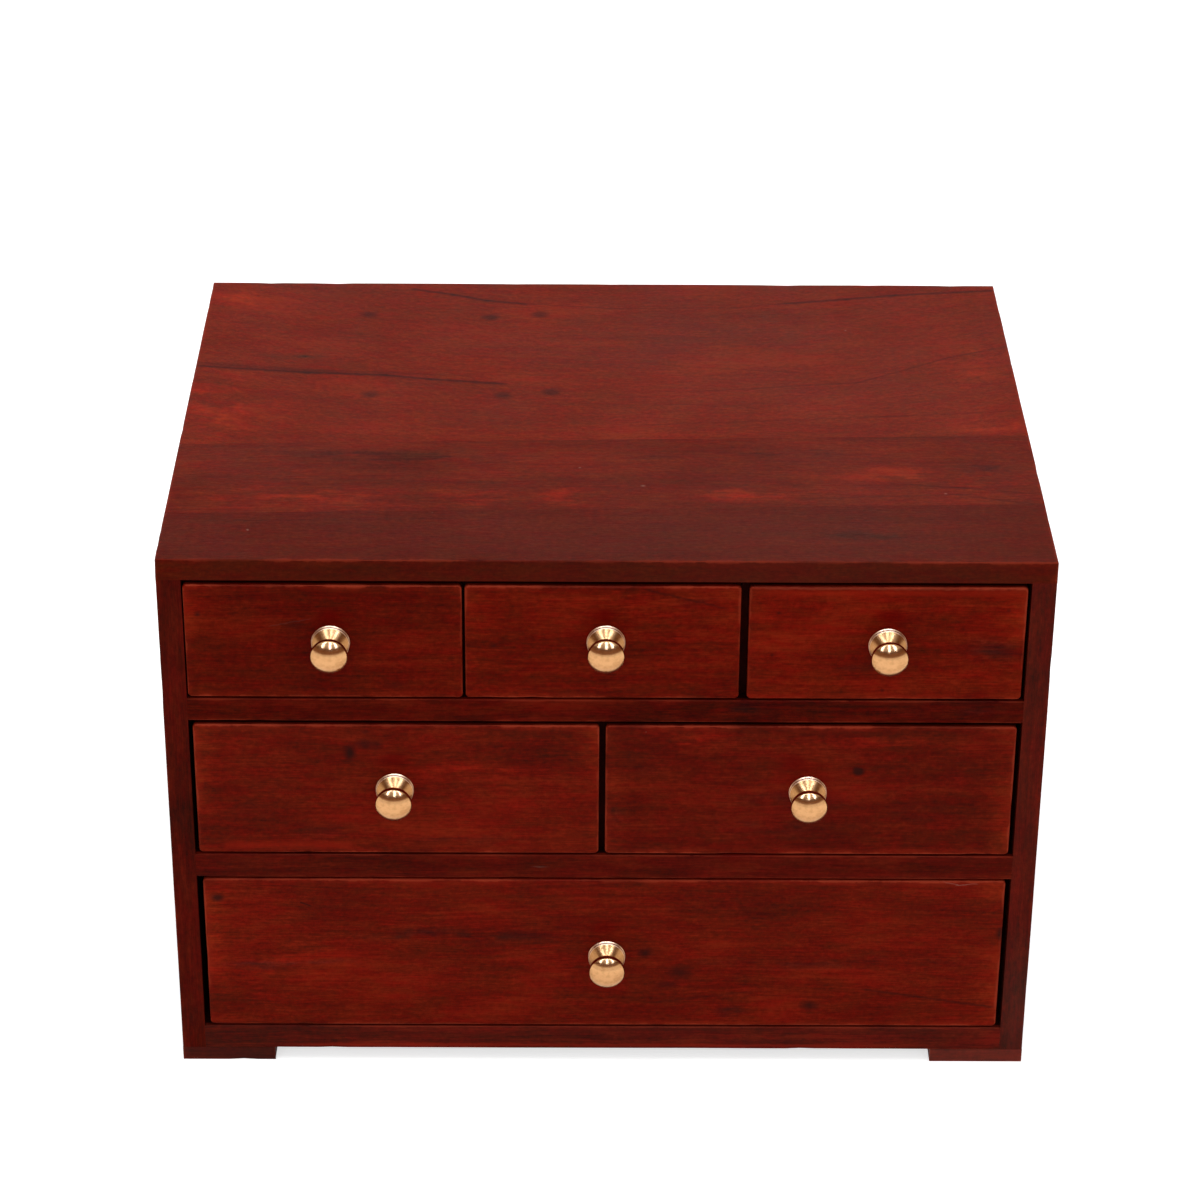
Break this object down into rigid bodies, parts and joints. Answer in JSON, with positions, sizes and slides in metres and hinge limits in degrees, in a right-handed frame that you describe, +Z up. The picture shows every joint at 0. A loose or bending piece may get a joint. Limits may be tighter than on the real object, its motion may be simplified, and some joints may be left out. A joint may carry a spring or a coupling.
{
  "type": "desktop mini drawers",
  "caption": "Small wooden desktop chest with rows of drawers in three widths, low corner feet and turned brass knobs.",
  "frame": {"origin": "centre of the footprint, knobs included, on the plane that the feet stand on", "axes": "+X to the right when facing the drawers, +Y from the drawer fronts to the back, +Z up; drawers open towards -Y"},
  "size_m": [0.4, 0.3168, 0.271],
  "materials": {
    "stained_wood": "dark red stain under a thin satin varnish, worn lighter on the arrises",
    "plain_wood": "planed, unfinished",
    "plywood": "thin plywood, unfinished",
    "brass": "polished",
    "screw_steel": "zinc plated"
  },
  "bodies": {
    "cabinet": {"back_panel": "plywood", "base_board": "stained_wood", "front_left_foot": "stained_wood", "front_right_foot": "stained_wood", "left_side": "stained_wood", "left_upper_divider": "stained_wood", "lower_shelf": "stained_wood", "middle_divider": "stained_wood", "rear_left_foot": "stained_wood", "rear_right_foot": "stained_wood", "right_side": "stained_wood", "right_upper_divider": "stained_wood", "top_board_front": "stained_wood", "top_board_middle": "stained_wood", "top_board_rear": "stained_wood", "top_dowels": "plain_wood", "upper_shelf": "stained_wood"},
    "upper_left_drawer": {"upper_left_drawer_back": "plain_wood", "upper_left_drawer_bottom": "plywood", "upper_left_drawer_front": "stained_wood", "upper_left_drawer_knob": "brass", "upper_left_drawer_knob_screw": "screw_steel", "upper_left_drawer_left_side": "plain_wood", "upper_left_drawer_right_side": "plain_wood"},
    "upper_middle_drawer": {"upper_middle_drawer_back": "plain_wood", "upper_middle_drawer_bottom": "plywood", "upper_middle_drawer_front": "stained_wood", "upper_middle_drawer_knob": "brass", "upper_middle_drawer_knob_screw": "screw_steel", "upper_middle_drawer_left_side": "plain_wood", "upper_middle_drawer_right_side": "plain_wood"},
    "upper_right_drawer": {"upper_right_drawer_back": "plain_wood", "upper_right_drawer_bottom": "plywood", "upper_right_drawer_front": "stained_wood", "upper_right_drawer_knob": "brass", "upper_right_drawer_knob_screw": "screw_steel", "upper_right_drawer_left_side": "plain_wood", "upper_right_drawer_right_side": "plain_wood"},
    "middle_left_drawer": {"middle_left_drawer_back": "plain_wood", "middle_left_drawer_bottom": "plywood", "middle_left_drawer_front": "stained_wood", "middle_left_drawer_knob": "brass", "middle_left_drawer_knob_screw": "screw_steel", "middle_left_drawer_left_side": "plain_wood", "middle_left_drawer_right_side": "plain_wood"},
    "middle_right_drawer": {"middle_right_drawer_back": "plain_wood", "middle_right_drawer_bottom": "plywood", "middle_right_drawer_front": "stained_wood", "middle_right_drawer_knob": "brass", "middle_right_drawer_knob_screw": "screw_steel", "middle_right_drawer_left_side": "plain_wood", "middle_right_drawer_right_side": "plain_wood"},
    "lower_drawer": {"lower_drawer_back": "plain_wood", "lower_drawer_bottom": "plywood", "lower_drawer_front": "stained_wood", "lower_drawer_knob": "brass", "lower_drawer_knob_screw": "screw_steel", "lower_drawer_left_side": "plain_wood", "lower_drawer_right_side": "plain_wood"}
  },
  "joints": [
    {"name": "upper_left_slide", "type": "slide", "parent": "cabinet", "child": "upper_left_drawer", "axis": [0, -1, 0], "range_m": [0, 0.22]},
    {"name": "upper_middle_slide", "type": "slide", "parent": "cabinet", "child": "upper_middle_drawer", "axis": [0, -1, 0], "range_m": [0, 0.22]},
    {"name": "upper_right_slide", "type": "slide", "parent": "cabinet", "child": "upper_right_drawer", "axis": [0, -1, 0], "range_m": [0, 0.22]},
    {"name": "middle_left_slide", "type": "slide", "parent": "cabinet", "child": "middle_left_drawer", "axis": [0, -1, 0], "range_m": [0, 0.22]},
    {"name": "middle_right_slide", "type": "slide", "parent": "cabinet", "child": "middle_right_drawer", "axis": [0, -1, 0], "range_m": [0, 0.22]},
    {"name": "lower_slide", "type": "slide", "parent": "cabinet", "child": "lower_drawer", "axis": [0, -1, 0], "range_m": [0, 0.22]}
  ]
}
